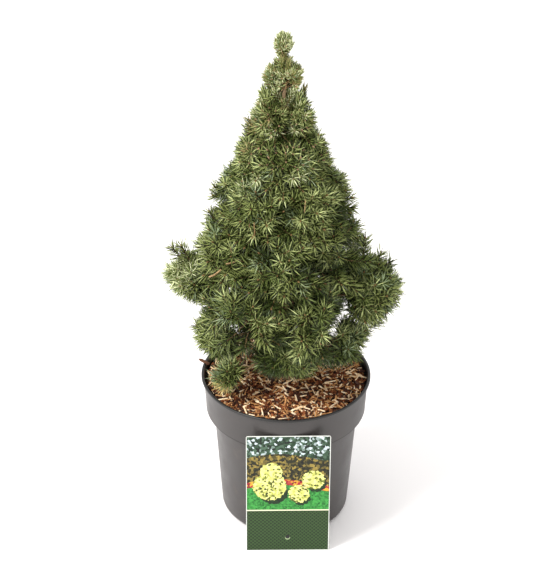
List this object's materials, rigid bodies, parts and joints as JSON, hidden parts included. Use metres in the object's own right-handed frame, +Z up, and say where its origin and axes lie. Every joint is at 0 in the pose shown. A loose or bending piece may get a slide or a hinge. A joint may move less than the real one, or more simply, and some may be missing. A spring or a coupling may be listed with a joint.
{
  "type": "potted alberta spruce",
  "caption": "Conical dwarf spruce with a straight trunk, spreading boughs and dense short needles, in a round nursery pot with bark mulch and a picture label",
  "frame": {"origin": "centre of the pot's flat underside, on the surface it stands on", "axes": "+Z up along the plant, +X to the right and -Y towards the front, where the label leans on the pot"},
  "size_m": [0.2658, 0.2352, 0.592],
  "materials": {
    "pot_plastic": "matte warm grey moulded plastic",
    "potting_mix": "moist dark bark compost",
    "bark_mulch": "shredded red-brown bark with pale splinters",
    "spruce_bark": "rough brown bark",
    "spruce_needles": "short green needles on fine twigs",
    "label_card": "printed card with a low sheen"
  },
  "bodies": {
    "root": {"bark_mulch": "bark_mulch", "bough_broad_1": "spruce_bark", "bough_broad_2": "spruce_bark", "bough_broad_3": "spruce_bark", "bough_broad_4": "spruce_bark", "bough_broad_5": "spruce_bark", "bough_left_arm": "spruce_bark", "bough_low_back_1": "spruce_bark", "bough_low_back_2": "spruce_bark", "bough_low_corner": "spruce_bark", "bough_low_front": "spruce_bark", "bough_low_left": "spruce_bark", "bough_low_right": "spruce_bark", "bough_right_arm": "spruce_bark", "bough_wide_1": "spruce_bark", "bough_wide_2": "spruce_bark", "bough_wide_3": "spruce_bark", "bough_wide_4": "spruce_bark", "bough_wide_5": "spruce_bark", "foliage_broad_1": "spruce_needles", "foliage_broad_2": "spruce_needles", "foliage_broad_3": "spruce_needles", "foliage_broad_4": "spruce_needles", "foliage_broad_5": "spruce_needles", "foliage_crest_1": "spruce_needles", "foliage_crest_2": "spruce_needles", "foliage_crest_3": "spruce_needles", "foliage_leader": "spruce_needles", "foliage_left_arm": "spruce_needles", "foliage_low_back_1": "spruce_needles", "foliage_low_back_2": "spruce_needles", "foliage_low_corner": "spruce_needles", "foliage_low_front": "spruce_needles", "foliage_low_left": "spruce_needles", "foliage_low_right": "spruce_needles", "foliage_middle_1": "spruce_needles", "foliage_middle_2": "spruce_needles", "foliage_middle_3": "spruce_needles", "foliage_middle_4": "spruce_needles", "foliage_middle_5": "spruce_needles", "foliage_right_arm": "spruce_needles", "foliage_shoulder_1": "spruce_needles", "foliage_shoulder_2": "spruce_needles", "foliage_shoulder_3": "spruce_needles", "foliage_shoulder_4": "spruce_needles", "foliage_upper_1": "spruce_needles", "foliage_upper_2": "spruce_needles", "foliage_upper_3": "spruce_needles", "foliage_wide_1": "spruce_needles", "foliage_wide_2": "spruce_needles", "foliage_wide_3": "spruce_needles", "foliage_wide_4": "spruce_needles", "foliage_wide_5": "spruce_needles", "label": "label_card", "pot": "pot_plastic", "potting_mix": "potting_mix", "trunk": "spruce_bark"}
  },
  "joints": []
}
